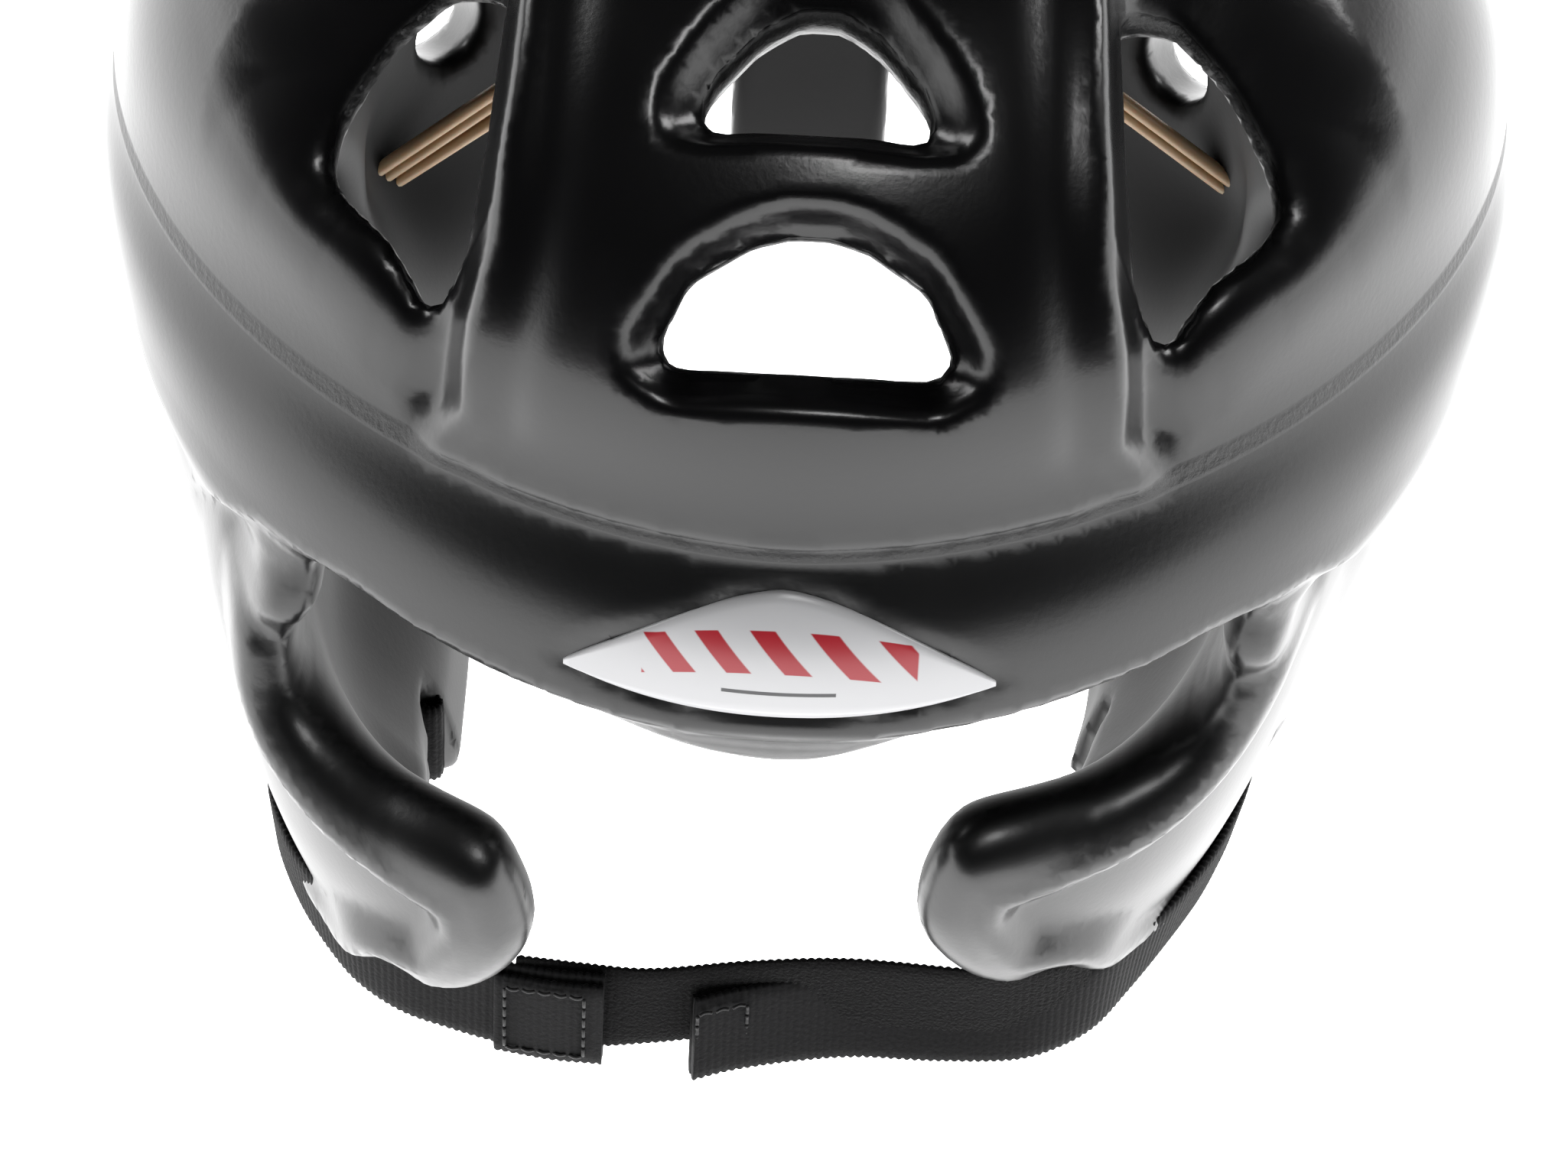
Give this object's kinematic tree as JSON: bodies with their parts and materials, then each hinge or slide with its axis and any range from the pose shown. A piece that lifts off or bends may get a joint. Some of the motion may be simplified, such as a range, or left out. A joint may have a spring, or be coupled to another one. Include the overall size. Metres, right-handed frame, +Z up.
{
  "type": "martial arts head guard",
  "caption": "Moulded foam head guard with crown windows, brow band, cheek guards, ear openings, elastic rear cords and a hook-and-loop chin strap.",
  "frame": {"origin": "centre of the base, on the floor plane that the guard's lower edge rests on", "axes": "+Z up, the face towards -Y, the wearer's left at +X"},
  "size_m": [0.2227, 0.2456, 0.1989],
  "materials": {
    "foam_skin": "satin",
    "badge": "glossy",
    "keeper_plastic": "matte",
    "latex": "satin",
    "webbing": "woven",
    "loop_tape": "looped pile",
    "hook_tape": "hooked pile",
    "thread": "sewn thread"
  },
  "bodies": {
    "shell": {"shell": "foam_skin", "brow_badge": "badge", "cord_keeper": "keeper_plastic", "elastic_cord_left": "latex", "elastic_cord_right": "latex", "cord_knot_left": "latex", "cord_knot_right": "latex", "cord_knots_rear": "latex", "strap_root_left": "webbing", "strap_root_right": "webbing", "strap_stop_left": "keeper_plastic", "strap_stop_right": "keeper_plastic"},
    "strap_left": {"chin_strap_left": "webbing", "loop_strip": "loop_tape", "stitching_left": "thread"},
    "strap_right": {"chin_strap_right": "webbing", "hook_strip": "hook_tape", "stitching_right": "thread"}
  },
  "joints": [
    {"name": "strap_left_open", "type": "hinge", "parent": "shell", "child": "strap_left", "pos_m": [-0.0875, -0.04936, 0.012], "axis": [0, 0, -1], "range_deg": [0, 75]},
    {"name": "strap_right_open", "type": "hinge", "parent": "shell", "child": "strap_right", "pos_m": [0.0875, -0.04936, 0.012], "axis": [0, 0, 1], "range_deg": [0, 50]}
  ],
  "couplings": [
    {"joint": "strap_right_open", "follows": "strap_left_open", "ratio": 0.65}
  ]
}
